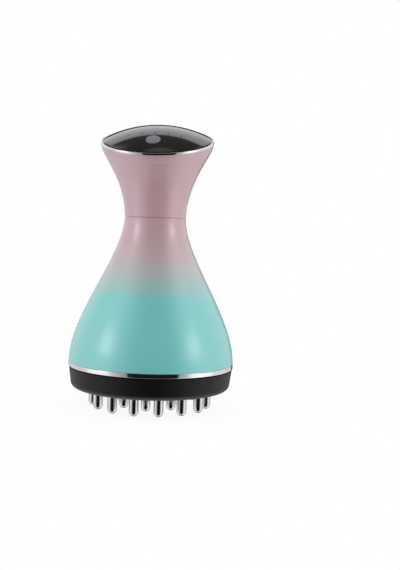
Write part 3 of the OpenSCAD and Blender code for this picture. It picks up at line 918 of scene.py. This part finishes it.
def buildWorld():
    p = studio
    world = bpy.data.worlds.new("studio")
    world.use_nodes = True
    bpy.context.scene.world = world
    tree = world.node_tree
    background = tree.nodes["Background"]

    def feed(sockets, values):
        for socket, value in zip(sockets, values):
            if isinstance(value, (int, float)):
                socket.default_value = value
            else:
                link(tree, value, socket)

    def calc(operation, *values):
        node = tree.nodes.new("ShaderNodeMath")
        node.operation = operation
        feed(node.inputs, values)
        return node.outputs[0]

    def step(value, low, high, first=0, last=1):
        node = tree.nodes.new("ShaderNodeMapRange")
        node.interpolation_type = "SMOOTHSTEP"
        feed(node.inputs, (value, low, high, first, last))
        return node.outputs["Result"]

    def blend(factor, a, b):
        node = tree.nodes.new("ShaderNodeMix")
        node.data_type = "FLOAT"
        feed(node.inputs[:1] + node.inputs[2:4], (factor, a, b))
        return node.outputs[0]

    def distance(value, middle):
        return calc("ABSOLUTE", calc("SUBTRACT", value, middle))

    def band(value, middle, half, flat):
        # 1 in the middle, and 0 from half a width away
        return step(distance(value, middle), half, flat * half)

    where = tree.nodes.new("ShaderNodeTexCoord")
    axes = tree.nodes.new("ShaderNodeSeparateXYZ")
    link(tree, where.outputs["Generated"], axes.inputs["Vector"])
    x, y, z = (axes.outputs[k] for k in "XYZ")
    turn = calc("DEGREES", calc("ARCTAN2", x, calc("MULTIPLY", y, -1.0)))
    aside = calc("ABSOLUTE", turn)
    rise = calc("DEGREES", calc("ARCSINE", z))
    # side screens and back wall
    side = blend(calc("GREATER_THAN", x, 0.0), p["side"], p["sideRight"])
    side = blend(step(rise, *p["sideTop"]), side, p["high"])
    far = calc("MULTIPLY", step(rise, *p["farFoot"]), step(rise, *p["farTop"]))
    side = calc("MULTIPLY", side, blend(far, 1.0, p["far"]))
    overBack = step(calc("SUBTRACT", z, calc("MULTIPLY", y, p["backSlope"])), *p["backEdge"])
    back = blend(overBack, p["back"], p["high"])
    back = blend(step(rise, *p["backLowTop"]), calc("MULTIPLY", side, p["backSide"]), back)
    level = blend(step(aside, *p["backTurn"]), side, back)
    strip = calc("MULTIPLY", step(aside, *p["backLowTurn"]),
                 step(rise, *reversed(p["backLowTop"])))
    level = blend(strip, level, p["backLow"])
    # strip lights in front of the side screens
    around = distance(turn, p["coreMiddle"])
    coreTurn = band(around, p["coreTurn"], p["coreHalf"], p["coreFlat"])
    coreRise = band(rise, p["coreRise"], p["coreRiseHalf"], p["coreRiseFlat"])
    strips = calc("MULTIPLY", coreTurn, coreRise)
    level = calc("ADD", level, calc("MULTIPLY", strips, p["core"]))
    lowTurn = band(around, p["lowCoreTurn"], p["lowCoreHalf"], p["lowCoreFlat"])
    soft = p["lowCoreSoft"]
    foot, top = p["lowCoreRise"]
    lowRise = calc("MULTIPLY", step(rise, foot - soft, foot + soft),
                   step(rise, top + soft, top - soft))
    level = calc("ADD", level, calc("MULTIPLY", calc("MULTIPLY", lowTurn, lowRise), p["lowCore"]))
    # gap behind the camera, table and overhead panel
    off = distance(turn, p["gapMiddle"])
    half, soft = p["gapHalf"], p["gapSoft"]
    level = calc("MULTIPLY", level, step(off, half, half + p["gapRamp"], p["gapEdge"], 1.0))
    level = blend(step(off, half - soft, half + soft), p["gap"], level)
    level = blend(step(rise, *p["tableRise"]), level, p["table"])
    level = blend(step(rise, *p["zenithRise"]), level, p["zenith"])
    # only reflections see the studio, other rays an even light, and the camera plain white
    path = tree.nodes.new("ShaderNodeLightPath")
    seen = blend(path.outputs["Is Glossy Ray"], p["fill"], level)
    seen = blend(path.outputs["Is Camera Ray"], seen, 1.0)
    # the strip lights are a little warmer than the screens
    warmth = calc("MULTIPLY", strips, path.outputs["Is Glossy Ray"])
    tone = mixColour(tree, warmth, (1.0, 1.0, 1.0), p["coreTone"])
    lit = tree.nodes.new("ShaderNodeVectorMath")
    lit.operation = "SCALE"
    feed((lit.inputs[0], lit.inputs["Scale"]), (tone, seen))
    link(tree, lit.outputs[0], background.inputs["Color"])


softbox = {
    "turn": 66,
    "rise": 38,
    "distance": 0.8,
    "aim": (0, 0, 0.075),
    "size": (0.3, 0.4),
    "power": 0.3,
}


def addSoftbox(name, turn):
    p = softbox
    lamp = bpy.data.lights.new(name, "AREA")
    lamp.shape = "RECTANGLE"
    lamp.size, lamp.size_y = p["size"]
    lamp.energy = p["power"]
    holder = bpy.data.objects.new(name, lamp)
    holder.visible_glossy = False
    bpy.context.scene.collection.objects.link(holder)
    a, e = math.radians(turn), math.radians(p["rise"])
    away = Vector((math.sin(a) * math.cos(e), -math.cos(a) * math.cos(e), math.sin(e)))
    holder.location = Vector(p["aim"]) + away * p["distance"]
    holder.rotation_euler = away.to_track_quat("Z", "Y").to_euler()


# seen from a little to the right of the front, level with the neck seam
camera = {
    "place": (0.06677, -0.52123, 0.10431),
    "turn": (85.992, -1.955, 4.645),
    "lens": 60.69,
    "sensor": 36,
    "clipStart": 0.02,
}


def buildCamera():
    p = camera
    data = bpy.data.cameras.new("camera")
    data.sensor_width = p["sensor"]
    data.lens = p["lens"]
    data.clip_start = p["clipStart"]
    holder = bpy.data.objects.new("camera", data)
    bpy.context.scene.collection.objects.link(holder)
    holder.location = p["place"]
    holder.rotation_euler = [math.radians(turn) for turn in p["turn"]]
    bpy.context.scene.camera = holder


buildFloor()
buildWorld()
addSoftbox("softboxLeft", -softbox["turn"])
addSoftbox("softboxRight", softbox["turn"])
buildCamera()
bpy.context.scene.view_settings.view_transform = "Standard"
print("studio built")
